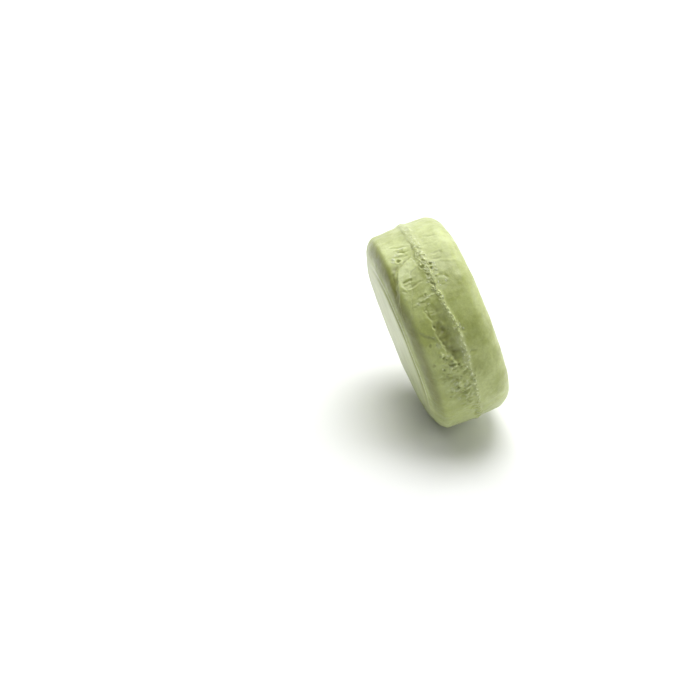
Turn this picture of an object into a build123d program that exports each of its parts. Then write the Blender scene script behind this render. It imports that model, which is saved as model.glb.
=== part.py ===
from build123d import *
import os
from math import cos, radians, sin, sqrt

os.makedirs("parts", exist_ok=True)

# A pressed puck of shaving soap, lying on its flat underside. Millimetres, +Z is the axis of the
# disc, z = 0 is the resting face and the origin is that face's centre. Bearings are degrees
# counted from -Y towards +X.

# Driving dimensions
puck_diameter = 63.5          # a 2 1/2 inch puck, measured where the press dies met
puck_thickness = 25.6
parting_height = 11.6         # height of the line where the two dies met
wall_draft = 0.32             # how far each wall leans in between the parting line and its edge
lower_edge_radial = 5.4       # tight rounding round the resting face
lower_edge_axial = 5.5
upper_edge_radial = 11.5      # broad rounding round the upper face
upper_edge_axial = 4.8
bead_groove_radius = 23.8     # thin ring pressed into the upper edge by the die
bead_groove_depth = 0.4
flash_height = 0.7            # how far squeezed-out soap stands off the wall
skin_thickness = 0.35         # a lapped tongue of soap smeared over the wall
scale_thickness = 0.25        # small dry scales lifting off the wall
crumb_chamfer = 0.12          # worn corners of the larger crumbs

puck_radius = puck_diameter / 2
lower_wall_top = lower_edge_axial
upper_wall_top = puck_thickness - upper_edge_axial

# A tongue of soap lapped over the upper wall: first bearing, last bearing, low edge, high edge
lapped_tongue = (6, 40, 14.4, 20.6)

# Strips of flash round the parting line: first bearing, last bearing, half width, height
flash_strips = {
    "flattened_flash": (28, 80, 1.6, 0.45),
    "thin_flash": (-12, 28, 0.7, flash_height),
    "smooth_flash": (-34, -12, 1.0, 0.55),
    "rear_flash": (80, 272, 0.8, flash_height),
}

# The last stretch of flash has crumbled into short lengths: middle bearing, bearings covered
flash_stubs = [(-44, 5), (-53, 6), (-62, 4), (-71, 7), (-82, 6)]
stub_half_width = 0.6
stub_height = 0.5

# Dry scales beside the crumbled flash: middle bearing, middle height, bearings covered, height span
scales = [
    (-40, 16.4, 4.0, 1.6),
    (-46, 18.6, 3.0, 1.4),
    (-49, 15.8, 3.6, 1.8),
    (-56, 17.4, 3.2, 1.5),
    (-33, 18.2, 3.4, 1.6),
    (-61, 15.2, 3.0, 1.3),
]

# Loose crumbs pressed on beside the flash: bearing, height, size, turn about the radius
crumbs = [
    (-8.5, 9.4, 1.2, 20),
    (-11, 8.6, 0.9, 50),
    (-5.5, 9.8, 0.8, 75),
    (31, 9.3, 1.0, 15),
    (36, 9.0, 1.3, 40),
    (44, 9.1, 0.9, 65),
    (33, 13.8, 0.7, 30),
    (40, 13.8, 0.8, 80),
    (49, 13.8, 0.7, 10),
    (-30, 13.6, 0.9, 35),
    (-37, 10.2, 0.8, 55),
]


def wall_radius(height):
    """Radius of the drafted wall at a height between the two rounded edges."""
    if height < parting_height:
        lean = (parting_height - height) / (parting_height - lower_wall_top)
    else:
        lean = (height - parting_height) / (upper_wall_top - parting_height)
    return puck_radius - wall_draft * lean


def wall_point(height, stand_off=0.0):
    """Point of the wall's profile in the XZ plane, moved outward by stand_off."""
    return (wall_radius(height) + stand_off, height)


def turned_to(bearing):
    """The XZ plane turned about Z so that its X axis points along a bearing."""
    return Plane.XZ.rotated((0, 0, bearing - 90))


def half_profile(z_face, z_wall_top, edge_radial, edge_axial):
    """Profile of one half in the XZ plane, from the axis out to the parting line."""
    wall_top_radius = puck_radius - wall_draft
    flat_radius = wall_top_radius - edge_radial
    with BuildSketch(Plane.XZ) as profile:
        with BuildLine():
            Line((0, parting_height), (0, z_face))
            Line((0, z_face), (flat_radius, z_face))
            EllipticalCenterArc(
                center=(flat_radius, z_wall_top),
                x_radius=edge_radial,
                y_radius=edge_axial,
                start_angle=0 if z_face > z_wall_top else 270,
                arc_size=90,
            )
            Line((wall_top_radius, z_wall_top), (puck_radius, parting_height))
            Line((puck_radius, parting_height), (0, parting_height))
        make_face()
    return profile.sketch


def export(piece, name):
    piece.part.label = name
    export_step(piece.part, f"parts/{name}.step")


# Lower half: the resting face with its tight rounded edge
with BuildPart() as lower_half:
    add(half_profile(0, lower_wall_top, lower_edge_radial, lower_edge_axial))
    revolve(axis=Axis.Z)
export(lower_half, "lower_half")

# Upper half: the broad rounded edge, with the die's thin ring groove in it
with BuildPart() as upper_half:
    add(half_profile(puck_thickness, upper_wall_top, upper_edge_radial, upper_edge_axial))
    revolve(axis=Axis.Z)
    flat_radius = puck_radius - wall_draft - upper_edge_radial
    groove_run = (bead_groove_radius - flat_radius) / upper_edge_radial
    groove_height = upper_wall_top + upper_edge_axial * sqrt(1 - groove_run**2)
    with BuildSketch(Plane.XZ):
        with Locations((bead_groove_radius, groove_height)):
            Circle(bead_groove_depth)
    revolve(axis=Axis.Z, mode=Mode.SUBTRACT)
export(upper_half, "upper_half")


def flash_ring_part(first_bearing, last_bearing, half_width, height):
    """A ridge of squeezed-out soap: a low peak on both walls, swept round part of the rim."""
    with BuildPart() as ridge:
        with BuildSketch(turned_to(first_bearing)):
            Polygon(
                wall_point(parting_height - half_width),
                wall_point(parting_height - half_width / 2, height * 0.8),
                wall_point(parting_height, height),
                wall_point(parting_height + half_width / 2, height * 0.8),
                wall_point(parting_height + half_width),
                wall_point(parting_height),
                align=None,
            )
        revolve(axis=Axis.Z, revolution_arc=last_bearing - first_bearing)
    return ridge


for strip_name, strip in flash_strips.items():
    export(flash_ring_part(*strip), strip_name)

# The crumbled stretch is one node of short separate lengths
stub_parts = [
    flash_ring_part(middle - covered / 2, middle + covered / 2, stub_half_width, stub_height).part
    for middle, covered in flash_stubs
]
with BuildPart() as crumbled_flash:
    for stub in stub_parts:
        add(stub)
export(crumbled_flash, "crumbled_flash")


def wall_patch(first_bearing, last_bearing, low, high, thickness):
    """A thin skin lying on the wall, feathered to nothing along its upper and lower edges."""
    with BuildPart() as patch:
        with BuildSketch(turned_to(first_bearing)):
            Polygon(
                wall_point(low),
                wall_point(low + (high - low) * 0.3, thickness),
                wall_point(low + (high - low) * 0.8, thickness),
                wall_point(high),
                align=None,
            )
        revolve(axis=Axis.Z, revolution_arc=last_bearing - first_bearing)
    return patch


# Lapped skin: a tongue of soap folded over the upper wall
export(wall_patch(*lapped_tongue, skin_thickness), "lapped_skin")

scale_parts = [
    wall_patch(
        bearing - covered / 2, bearing + covered / 2, z - span / 2, z + span / 2, scale_thickness
    ).part
    for bearing, z, covered, span in scales
]
with BuildPart() as dry_scales:
    for scale_part in scale_parts:
        add(scale_part)
export(dry_scales, "dry_scales")

# Crumbs: small faceted grains, each cut to sit on the wall
with BuildPart() as soap_crumbs:
    for bearing, height, size, turn in crumbs:
        angle = radians(bearing - 90)
        seat = (wall_radius(height) * cos(angle), wall_radius(height) * sin(angle), height)
        with Locations(Location(seat, (turn, 0, bearing - 90))):
            grain = Box(size * 0.9, size, size * 0.8)
    large_edges = soap_crumbs.edges().filter_by(lambda edge: edge.length > 5 * crumb_chamfer)
    chamfer(large_edges, length=crumb_chamfer)
    add(lower_half.part, mode=Mode.SUBTRACT)
    add(upper_half.part, mode=Mode.SUBTRACT)
export(soap_crumbs, "soap_crumbs")
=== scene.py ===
import math

import bmesh
import bpy
import numpy as np
from mathutils import Matrix, Vector


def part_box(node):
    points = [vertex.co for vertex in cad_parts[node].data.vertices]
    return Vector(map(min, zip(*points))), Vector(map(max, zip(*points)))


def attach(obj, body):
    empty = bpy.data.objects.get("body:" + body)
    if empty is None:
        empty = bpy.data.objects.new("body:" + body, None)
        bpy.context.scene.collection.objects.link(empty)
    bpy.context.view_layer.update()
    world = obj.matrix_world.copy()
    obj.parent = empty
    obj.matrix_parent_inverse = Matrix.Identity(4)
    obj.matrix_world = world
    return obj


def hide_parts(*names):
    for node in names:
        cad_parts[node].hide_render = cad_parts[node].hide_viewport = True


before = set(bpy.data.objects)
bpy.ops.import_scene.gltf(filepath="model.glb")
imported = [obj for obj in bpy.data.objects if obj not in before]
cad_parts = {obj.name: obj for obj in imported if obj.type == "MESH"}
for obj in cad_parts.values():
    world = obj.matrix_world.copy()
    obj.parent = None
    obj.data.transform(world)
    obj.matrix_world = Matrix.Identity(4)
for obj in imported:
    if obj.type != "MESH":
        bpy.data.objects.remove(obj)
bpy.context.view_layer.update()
_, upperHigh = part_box("upper_half")
_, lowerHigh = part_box("lower_half")

# Mesh code works in millimetres; every piece is scaled to metres when it is made.
# Bearings are degrees from -Y towards +X, heights are above the resting face.
mm = 0.001

body = "root"

puck = {
    "radius": lowerHigh.x / mm,
    "thickness": upperHigh.z / mm,
    "parting": lowerHigh.z / mm,
    "draft": 0.32,  # how far the wall leans in above and below the parting line
    "lowerEdge": (5.4, 5.5),  # rounding of the resting face, radial and axial
    "upperEdge": (11.5, 4.8),  # broad rounding of the upper face
    "rimFrom": -16.0,  # how far the rim runs below and above the parting line, over its surface
    "rimTo": 22.5,
}

# How the puck stands on its rim, leaning over to the left, told in room terms
stance = {"axisLeft": 105.2, "axisDown": 20.3}  # where its upper face points, degrees

cameraPlan = {
    "lens": 79.8,  # on a 36 mm sensor
    "distance": 0.4796,  # from the puck's middle
    "pitchDown": 29.07,
    "roll": 2.78,
    "puckRight": 3.14,  # where the puck's middle sits off the middle of the view, degrees
    "puckUp": 1.01,
}


def roomTurn():
    # the room is X right, Y away, Z up as the camera sees it; this turns the puck's frame into it
    pitch, roll = math.radians(cameraPlan["pitchDown"]), math.radians(cameraPlan["roll"])
    left, down = math.radians(stance["axisLeft"]), math.radians(stance["axisDown"])
    forward = Vector((0, math.cos(pitch), -math.sin(pitch)))
    upright = Vector((0, math.sin(pitch), math.cos(pitch)))
    level = Vector((1, 0, 0))
    right = level * math.cos(roll) + upright * math.sin(roll)
    up = upright * math.cos(roll) - level * math.sin(roll)
    toPuck = forward + right * math.tan(math.radians(cameraPlan["puckRight"]))
    toPuck += up * math.tan(math.radians(cameraPlan["puckUp"]))
    toPuck.normalize()
    axis = Vector(
        (-math.sin(left) * math.cos(down), math.cos(left) * math.cos(down), -math.sin(down))
    )
    front = -toPuck + axis * toPuck.dot(axis)  # the side of the rim that faces the camera
    front.normalize()
    back = -front
    roomFromPuck = Matrix((back.cross(axis), back, axis)).transposed()
    return roomFromPuck, right, up, forward, toPuck


roomFromPuck, viewRight, viewUp, viewForward, toPuck = roomTurn()
puckFromRoom = roomFromPuck.transposed()
roomUp = puckFromRoom @ Vector((0, 0, 1))
puckMiddle = Vector((0, 0, upperHigh.z / 2))


def makeCamera():
    data = bpy.data.cameras.new("tableCamera")
    data.lens = cameraPlan["lens"]
    data.sensor_width = 36
    data.clip_start = 0.01
    camera = bpy.data.objects.new("tableCamera", data)
    turn = Matrix((viewRight, viewUp, -viewForward)).transposed()
    place = puckMiddle - puckFromRoom @ toPuck * cameraPlan["distance"]
    camera.matrix_world = Matrix.Translation(place) @ (puckFromRoom @ turn).to_4x4()
    bpy.context.scene.collection.objects.link(camera)
    bpy.context.scene.camera = camera


makeCamera()
print("camera placed")

noiseSource = np.random.default_rng(1207)
slopes = noiseSource.normal(size=(256, 3))
slopes /= np.linalg.norm(slopes, axis=1)[:, None]
shuffled = noiseSource.permutation(256)


def grain(points, size, seed):
    # smooth noise of about -1 to 1 whose lumps are about size millimetres across
    p = points / size + seed * np.array((12.7, 5.3, 9.1))
    cell = np.floor(p).astype(int)
    f = p - cell
    ease = f**3 * (f * (f * 6 - 15) + 10)
    total = np.zeros(len(p))
    for corner in np.ndindex(2, 2, 2):
        c = (cell + corner) & 255
        pick = shuffled[(shuffled[(shuffled[c[:, 0]] + c[:, 1]) & 255] + c[:, 2]) & 255]
        share = np.prod(np.where(corner, ease, 1 - ease), axis=1)
        total += share * np.einsum("ij,ij->i", slopes[pick], f - corner)
    return total * 1.6


def smooth(value, low=0.0, high=1.0):
    t = np.clip((value - low) / (high - low), 0, 1)
    return t * t * (3 - 2 * t)


def between(value, low, high, fadeIn, fadeOut):
    # 1 inside a span, easing to 0 at each end of it
    return smooth(value, low, low + fadeIn) * smooth(-value, -high, -high + fadeOut)


def makeOutline():
    # the puck's section from the middle of the underside, over the rim, to the middle of the top
    radius, top, parting, draft = (puck[k] for k in ("radius", "thickness", "parting", "draft"))
    (lowIn, lowUp), (highIn, highUp) = puck["lowerEdge"], puck["upperEdge"]
    turn = np.linspace(0, math.pi / 2, 500)
    run = np.linspace(0, 1, 500)
    wall = radius - draft
    pieces = [
        (run * (wall - lowIn), run * 0),
        (wall - lowIn + lowIn * np.sin(turn), lowUp * (1 - np.cos(turn))),
        (wall + draft * run, lowUp + (parting - lowUp) * run),
        (radius - draft * run, parting + (top - highUp - parting) * run),
        (wall - highIn + highIn * np.cos(turn), top - highUp * (1 - np.sin(turn))),
        ((wall - highIn) * (1 - run), top + run * 0),
    ]
    line = np.concatenate([np.stack(piece, 1)[:-1] for piece in pieces])
    step = np.linalg.norm(np.diff(line, axis=0), axis=1)
    arc = np.concatenate([[0], np.cumsum(step)])
    arc -= arc[np.argmax(line[:, 0])]
    along = np.gradient(line, axis=0)
    along /= np.linalg.norm(along, axis=1)[:, None]
    return {
        "arc": arc,
        "radius": line[:, 0],
        "height": line[:, 1],
        "outward": along[:, 1],
        "upward": -along[:, 0],
        "faceLow": wall - lowIn,
        "faceHigh": wall - highIn,
    }


outline = makeOutline()
rimPart = slice(*np.searchsorted(outline["arc"], (puck["rimFrom"], puck["rimTo"])))


def arcOf(height):
    # distance over the rim from the parting line to a height, up positive
    return np.interp(height, outline["height"][rimPart], outline["arc"][rimPart])


def plainPoint(bearing, arc):
    # point and outward normal of the plain outline, with no relief
    angle = np.radians(bearing)
    pick = {k: np.interp(arc, outline["arc"], outline[k]) for k in outline if k[:4] != "face"}
    sideways, away = np.sin(angle), -np.cos(angle)
    point = np.stack([pick["radius"] * sideways, pick["radius"] * away, pick["height"]], 1)
    normal = np.stack([pick["outward"] * sideways, pick["outward"] * away, pick["upward"]], 1)
    return point, normal / np.linalg.norm(normal, axis=1)[:, None]


# The parting line wanders up and down the rim: bearing, millimetres above its mean height
seamWander = [
    (-170, 0.2), (-135, -0.3), (-105, 0.3), (-82, 0.3), (-72, -0.3), (-63, 0.0), (-57, 0.2),
    (-51, -0.4), (-45, -0.5), (-41, -0.8), (-36, -0.5), (-30, -0.4), (-24, -0.6), (-17, -0.6),
    (-12, -0.6), (-8, -0.95), (-3, -0.9), (2, -0.5), (8, -0.1), (13, -0.1), (17, 0.6), (24, 0.3),
    (33, 0.2), (48, 0.1), (65, -0.3), (85, 0.1), (120, -0.3), (150, 0.3),
]
# on top of that it wobbles: how far, over what length in millimetres, seed
seamWobbles = [(0.26, 2.1, 31), (0.10, 0.9, 32)]


def seamShift(bearing):
    stops = np.array(seamWander, float)
    ring = np.concatenate([stops - (360, 0), stops, stops + (360, 0)])
    left = np.searchsorted(ring[:, 0], bearing, side="right") - 1
    share = smooth(bearing, ring[left, 0], ring[left + 1, 0])
    shift = ring[left, 1] + (ring[left + 1, 1] - ring[left, 1]) * share
    circle, _ = plainPoint(bearing, np.zeros(len(bearing)))
    for amount, size, seed in seamWobbles:
        shift = shift + amount * grain(circle, size, seed)
    return shift


# How the flash stands along the rim: bearing, height, half width, how broken it is
flashAlong = [
    (-180, 0.45, 0.8, 0.5), (-120, 0.40, 0.7, 0.6), (-80, 0.30, 0.8, 0.8), (-70, 0.28, 0.8, 0.9),
    (-56, 0.42, 0.8, 0.7), (-45, 0.38, 0.8, 0.8), (-34, 0.24, 0.8, 0.8), (-29, 0.45, 1.0, 0.3),
    (-24, 0.66, 1.25, 0.1), (-12, 0.74, 1.2, 0.1), (-7, 0.66, 1.05, 0.3), (-2, 0.45, 0.8, 0.4),
    (10, 0.42, 0.8, 0.5), (16, 0.40, 0.8, 0.5), (22, 0.45, 1.2, 0.9), (32, 0.45, 1.6, 0.9),
    (48, 0.50, 1.6, 0.45), (62, 0.60, 1.7, 0.15), (80, 0.50, 1.2, 0.3), (180, 0.45, 0.8, 0.5),
]


def flashAt(bearing):
    stops = np.array(flashAlong)
    return [np.interp(bearing, stops[:, 0], stops[:, k]) for k in (1, 2, 3)]


def flashProfile(fromSeam, width):
    # steeper below the seam than above it
    return np.exp(-np.abs(fromSeam / (width * np.where(fromSeam > 0, 1.3, 0.8))) ** 2.4)


def lumps(points, size, seed):
    # rounded lumps with narrow valleys between them, 0 to 1
    return smooth(np.abs(grain(points, size, seed)), 0.0, 0.5)


def nearPath(skin, path, reach, ragged):
    # points near a path of (bearing, height), with distance, side (left of travel positive), share
    radius = puck["radius"]
    stops = np.array([(math.radians(b) * radius, arcOf(h)) for b, h in path])
    low, high = stops.min(0) - reach - ragged, stops.max(0) + reach + ragged
    u, v = skin["u"], skin["v"]
    near = np.flatnonzero((u > low[0]) & (u < high[0]) & (v > low[1]) & (v < high[1]))
    at = np.stack([u[near] + ragged * skin["warpU"][near], v[near] + ragged * skin["warpV"][near]], 1)
    distance = np.full(len(near), 1e9)
    side, share = np.zeros(len(near)), np.zeros(len(near))
    lengths = np.linalg.norm(np.diff(stops, axis=0), axis=1)
    before = np.concatenate([[0], np.cumsum(lengths)])
    for k in range(len(stops) - 1):
        run = stops[k + 1] - stops[k]
        t = np.clip((at - stops[k]) @ run / (run @ run), 0, 1)
        off = at - stops[k] - t[:, None] * run
        d = np.hypot(off[:, 0], off[:, 1])
        closer = d < distance
        distance[closer] = d[closer]
        side[closer] = np.sign(run[0] * off[closer, 1] - run[1] * off[closer, 0])
        share[closer] = (before[k] + t[closer] * lengths[k]) / before[-1]
    return near, distance, side, share


def taper(share, ends):
    return smooth(share, 0, ends) * smooth(1 - share, 0, ends) if ends else 1.0


def mark(skin, near, key, value):
    skin[key][near] = np.maximum(skin[key][near], value)


def stroke(skin, path, width, lift, ragged=0.25, dry=0.0, paintedShade=0.0, ends=0.3):
    # a crease where lift is negative, a fold where it is positive; a crease is darkened with painted shade, a
    # fold paled as dried soap with a painted highlight
    near, distance, _, share = nearPath(skin, path, 3 * width, ragged)
    strength = np.exp(-((distance / width) ** 2)) * taper(share, ends)
    strength *= 0.8 + 0.45 * skin["fade"][near]
    skin["lift"][near] += lift * strength
    mark(skin, near, "dry", dry * strength)
    mark(skin, near, "paintedShade", paintedShade * strength)


def lap(skin, path, lift, reach, ragged=0.35, dry=0.5, paintedShade=0.4, ends=0.15):
    # soap lapped over soap: a sharp step along the path, dying away over reach on its left; painted shade
    # along the foot of the step, and a pale crest of dried soap with a painted highlight
    near, distance, side, share = nearPath(skin, path, 2.5 * reach, ragged)
    signed = distance * side
    strength = taper(share, ends) * (0.85 + 0.4 * skin["fade"][near])
    rise = smooth(signed, -0.15, 0.25) * np.exp(-np.maximum(signed, 0) / reach)
    foot = np.exp(-(((signed + 0.35) / 0.38) ** 2))
    crest = np.exp(-(((signed - 0.3) / 0.3) ** 2))
    skin["lift"][near] += strength * (lift * rise - 0.5 * lift * foot)
    mark(skin, near, "dry", dry * crest * strength)
    mark(skin, near, "paintedShade", paintedShade * foot * strength)


def pit(skin, bearing, height, size, depth, ragged=0.3, dry=0.25):
    # a pit: painted shade in the hole, and a pale rim of dried soap with a painted highlight
    spot = (math.radians(bearing) * puck["radius"], arcOf(height))
    reach = 3 * size + ragged
    u, v = skin["u"], skin["v"]
    near = np.flatnonzero((np.abs(u - spot[0]) < reach) & (np.abs(v - spot[1]) < reach))
    across = u[near] + ragged * skin["warpU"][near] - spot[0]
    along = v[near] + ragged * skin["warpV"][near] - spot[1]
    d = np.hypot(across, along) / size
    hole, rim = np.exp(-(d**3)), np.exp(-(((d - 1.5) / 0.45) ** 2))
    skin["lift"][near] += 0.7 * depth * (0.3 * rim - hole)
    mark(skin, near, "paintedShade", 0.6 * hole)
    mark(skin, near, "dry", dry * rim)


# Marks pressed, lapped or torn into the rim. Paths are (bearing, height).
rimMarks = {
    "hollow": [(12, 14.6), (6, 14.7), (0, 14.6), (-7, 14.5), (-13, 14.2), (-19, 13.7), (-25, 12.9)],
    "hollowFloor": [(4, 14.7), (-3, 15.1), (-8, 15.1), (-13, 14.6), (-18, 13.9), (-24, 13.0)],
    "tornEdge": [(-28, 13.3), (-23.8, 14.3), (-19.3, 15.2), (-15.6, 15.9), (-11, 16.7), (-7.3, 17.1),
                 (-3.3, 17.1), (0.7, 16.7), (4, 17.4), (7, 17.5), (10.4, 16.6), (13, 16.9)],
    "lapEdge": [(41, 14.0), (39.4, 15.8), (37.7, 17.3), (36.2, 18.9), (34.0, 20.2), (29.8, 21.2),
                (25.3, 21.8), (21, 22.4), (17, 23.1), (12, 23.8), (5, 24.2)],
    "lapShadow": [(39.3, 17.6), (37.6, 19.2), (35.8, 20.8), (31.5, 22.1), (26, 22.8), (21, 23.4),
                  (15, 24.0)],
    "creases": [
        # path, width, lift, dryness with painted highlight, painted shade
        ([(54.2, 19.6), (53.6, 18.8), (51.1, 16.0), (48.7, 13.6)], 0.34, -0.38, 0.0, 1.0),
        ([(51.0, 19.2), (48.7, 16.1), (46.8, 13.9)], 0.46, 0.24, 0.95, 0.0),
        ([(47.8, 19.4), (46.1, 16.2), (44.6, 13.8)], 0.32, -0.26, 0.0, 0.7),
        ([(46.6, 20.4), (45.2, 17.7), (45.1, 15.4)], 0.65, 0.20, 1.0, 0.0),
        ([(45.6, 19.8), (43.6, 19.6), (41.4, 20.0), (39.8, 19.2)], 0.60, 0.18, 1.0, 0.0),
        ([(42.4, 17.4), (42.9, 14.9)], 0.28, -0.16, 0.0, 0.4),
        ([(38.9, 18.0), (38.6, 16.8), (38.8, 15.3)], 0.34, -0.26, 0.0, 0.7),
        ([(26.5, 20.7), (26.3, 18.8), (26.4, 16.8)], 0.36, -0.34, 0.0, 0.95),
        ([(28.2, 20.0), (27.8, 17.5), (27.7, 15.4)], 0.55, 0.16, 0.40, 0.0),
        ([(24.8, 20.8), (25.1, 18.4), (25.2, 16.2)], 0.26, 0.18, 0.55, 0.0),
        ([(21.9, 19.6), (23.0, 17.4), (23.5, 16.0), (24.0, 14.2)], 0.36, -0.28, 0.0, 0.7),
        ([(21.2, 20.3), (21.5, 18.3), (22.0, 16.7), (22.6, 15.6), (22.4, 14.0)], 0.28, 0.20, 0.55, 0.0),
        ([(25.3, 21.2), (23.1, 20.5), (20.8, 20.0)], 0.24, 0.14, 0.35, 0.0),
        ([(22.6, 21.2), (19.9, 20.1)], 0.28, -0.20, 0.0, 0.5),
        ([(14.6, 13.2), (13.4, 15.1), (13.3, 16.4), (12.8, 18.4), (12.0, 21.0)], 0.34, 0.32, 0.75, 0.0),
        ([(12.2, 15.8), (12.4, 17.4), (13.6, 19.2)], 0.36, -0.22, 0.0, 0.5),
        ([(15.6, 15.2), (15.0, 17.6), (14.4, 19.6)], 0.40, -0.16, 0.0, 0.35),
        ([(-1.6, 22.4), (-3.4, 21.4), (-5.2, 20.3), (-7.3, 19.0), (-9.8, 17.3)], 0.62, -0.42, 0.0, 0.65),
        ([(2.4, 24.4), (-2.4, 22.7)], 0.45, -0.20, 0.0, 0.3),
        ([(-4.6, 16.8), (-8.2, 16.6), (-12.4, 16.2), (-15.9, 15.4), (-18.3, 14.8), (-23.5, 13.8)],
         0.30, -0.30, 0.0, 0.95),
        ([(-12.8, 19.4), (-11.8, 17.9), (-11.8, 16.4)], 0.30, 0.24, 0.55, 0.0),
        ([(-14.1, 20.2), (-14.3, 18.2)], 0.34, 0.18, 0.45, 0.0),
        ([(-23.4, 16.8), (-23.2, 15.0), (-24.6, 13.6)], 0.34, 0.34, 0.60, 0.0),
        ([(-25.5, 17.2), (-26.8, 14.5)], 0.34, 0.26, 0.45, 0.0),
        ([(-18.4, 17.9), (-20.8, 17.1), (-21.6, 15.6)], 0.45, -0.50, 0.0, 1.0),
        ([(-22.8, 17.0), (-25.0, 16.3), (-26.0, 15.2)], 0.40, -0.50, 0.0, 1.0),
        ([(-25.2, 14.2), (-27.0, 13.6), (-29.0, 13.8)], 0.40, -0.40, 0.0, 0.8),
        ([(-16.4, 17.0), (-18.6, 16.2), (-20.4, 15.8)], 0.40, 0.35, 0.60, 0.0),
        ([(-23.0, 10.4), (-21.8, 9.1), (-22.4, 7.0)], 0.38, -0.36, 0.0, 0.85),
        ([(-24.8, 9.6), (-24.0, 7.8)], 0.34, 0.16, 0.3, 0.0),
        ([(-42.9, 18.8), (-43.8, 16.6), (-43.3, 14.6), (-44.4, 12.4)], 0.30, -0.26, 0.0, 0.8),
        ([(-41.0, 17.6), (-42.5, 15.1), (-42.2, 12.7)], 0.34, 0.24, 0.60, 0.0),
        ([(-37.9, 17.4), (-37.6, 15.5), (-40.5, 14.6)], 0.30, 0.20, 0.50, 0.0),
        ([(-49.6, 14.0), (-48.8, 15.2)], 0.35, 0.24, 0.60, 0.0),
        ([(-52.4, 16.4), (-51.2, 14.8)], 0.42, 0.20, 0.50, 0.0),
        ([(-60.0, 13.4), (-66.0, 12.8), (-72.0, 12.9)], 0.40, -0.26, 0.0, 0.5),
        ([(-57.0, 12.9), (-64.0, 11.5), (-70.0, 11.4)], 0.50, 0.22, 0.40, 0.0),
        ([(38.0, 9.3), (36.9, 8.0), (37.0, 6.4), (34.4, 5.8)], 0.36, -0.26, 0.0, 0.75),
        ([(35.9, 9.6), (35.2, 7.4)], 0.34, 0.18, 0.40, 0.0),
        ([(34.3, 10.4), (33.5, 8.7), (32.3, 6.4)], 0.34, -0.24, 0.0, 0.65),
        ([(31.8, 9.4), (31.0, 7.0), (29.1, 4.7), (27.1, 1.8)], 0.42, 0.16, 0.35, 0.0),
        ([(52.4, 9.0), (50.7, 6.2), (49.5, 4.0)], 0.34, -0.18, 0.0, 0.45),
        ([(54.5, 9.4), (52.4, 5.6)], 0.5, 0.10, 0.15, 0.0),
        ([(53.5, 13.6), (49.0, 13.0), (44.0, 13.4)], 0.50, -0.34, 0.0, 0.6),
        ([(44.0, 13.4), (38.0, 13.9), (33.0, 14.2)], 0.45, -0.20, 0.0, 0.35),
        ([(66.5, 10.5), (63.0, 11.2), (58.5, 10.6)], 0.60, 0.14, 0.45, 0.0),
        # a low fold along the upper edge, paled as a painted highlight
        ([(-78.0, 22.8), (-73.0, 21.4), (-68.0, 20.2)], 0.50, 0.12, 0.80, 0.0),
        ([(70.0, 13.6), (62.0, 13.2), (56.0, 13.4)], 0.55, -0.20, 0.0, 0.25),
        ([(21.5, 12.9), (18.6, 12.1), (16.4, 11.6)], 0.42, -0.62, 0.0, 1.0),
    ],
    "pits": [
        # bearing, height, size, depth
        (41.0, 18.5, 0.55, 0.60), (30.8, 12.9, 0.52, 0.50), (31.2, 10.6, 0.38, 0.50),
        (28.3, 10.8, 0.45, 0.55), (15.6, 15.6, 0.35, 0.30),
        (37.2, 11.0, 0.32, 0.35), (38.0, 13.2, 0.32, 0.25), (25.4, 12.4, 0.40, 0.30),
        (23.0, 10.6, 0.30, 0.25), (34.6, 12.2, 0.32, 0.28), (44.0, 11.6, 0.30, 0.20),
        (-2.1, 16.9, 0.38, 0.40), (-10.7, 20.0, 0.45, 0.28), (-19.3, 17.3, 0.48, 0.50),
        (-20.9, 16.8, 0.42, 0.40), (-24.8, 16.1, 0.55, 0.60), (-25.7, 18.5, 0.36, 0.42),
        (-21.5, 20.9, 0.45, 0.24), (-17.9, 18.3, 0.30, 0.25), (-5.6, 13.3, 0.40, 0.25),
        (-1.8, 14.7, 0.36, 0.25), (-27.2, 21.8, 0.30, 0.22), (-29.1, 22.1, 0.32, 0.22),
        (-30.5, 18.3, 0.35, 0.28), (-32.6, 19.4, 0.35, 0.26), (-33.0, 14.4, 0.38, 0.32),
        (-34.1, 14.7, 0.35, 0.28), (-35.7, 10.6, 0.30, 0.25), (-33.2, 17.0, 0.32, 0.24),
        (-39.3, 16.0, 0.38, 0.30), (-44.2, 19.1, 0.36, 0.26), (-50.8, 14.7, 0.38, 0.35),
        (-42.6, 14.2, 0.35, 0.30), (-57.6, 11.4, 0.38, 0.32), (-70.4, 12.8, 0.55, 0.40),
    ],
    "tornPatches": [
        # bearing, height, spread, how rough
        (-22.5, 16.2, 1.7, 2.0), (-27.0, 15.0, 1.7, 1.7), (-30.5, 13.2, 1.5, 1.3), (-17.5, 17.4, 1.5, 1.0),
        (-30.0, 18.6, 2.2, 0.8), (-36.0, 16.6, 2.8, 1.1), (-42.0, 16.0, 2.8, 1.3), (-46.5, 14.4, 2.5, 1.2),
        (-38.0, 12.8, 2.0, 0.9), (-53.0, 14.4, 2.2, 0.9), (-61.0, 12.8, 1.8, 0.6), (-71.0, 12.2, 1.6, 0.8),
        (-33.0, 20.4, 1.8, 0.5), (4.0, 15.9, 1.6, 0.6), (-4.0, 15.8, 1.6, 0.6), (20.5, 9.0, 1.8, 0.6),
        (14.5, 14.8, 1.6, 0.3), (-34.0, 9.4, 2.0, 0.4), (47.0, 16.6, 2.4, 0.4), (-5.0, 10.9, 1.6, 0.8),
        (-12.0, 10.6, 1.8, 0.5), (-19.0, 10.8, 2.0, 0.5), (-10.0, 16.9, 1.8, 0.6), (-15.0, 13.6, 2.0, 0.3),
    ],
    "streakedEdge": {
        "bearings": (48, 95), "fades": (8, 12), "heights": (19.0, 24.6), "spacing": 0.62, "lift": 0.05,
    },
}

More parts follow.
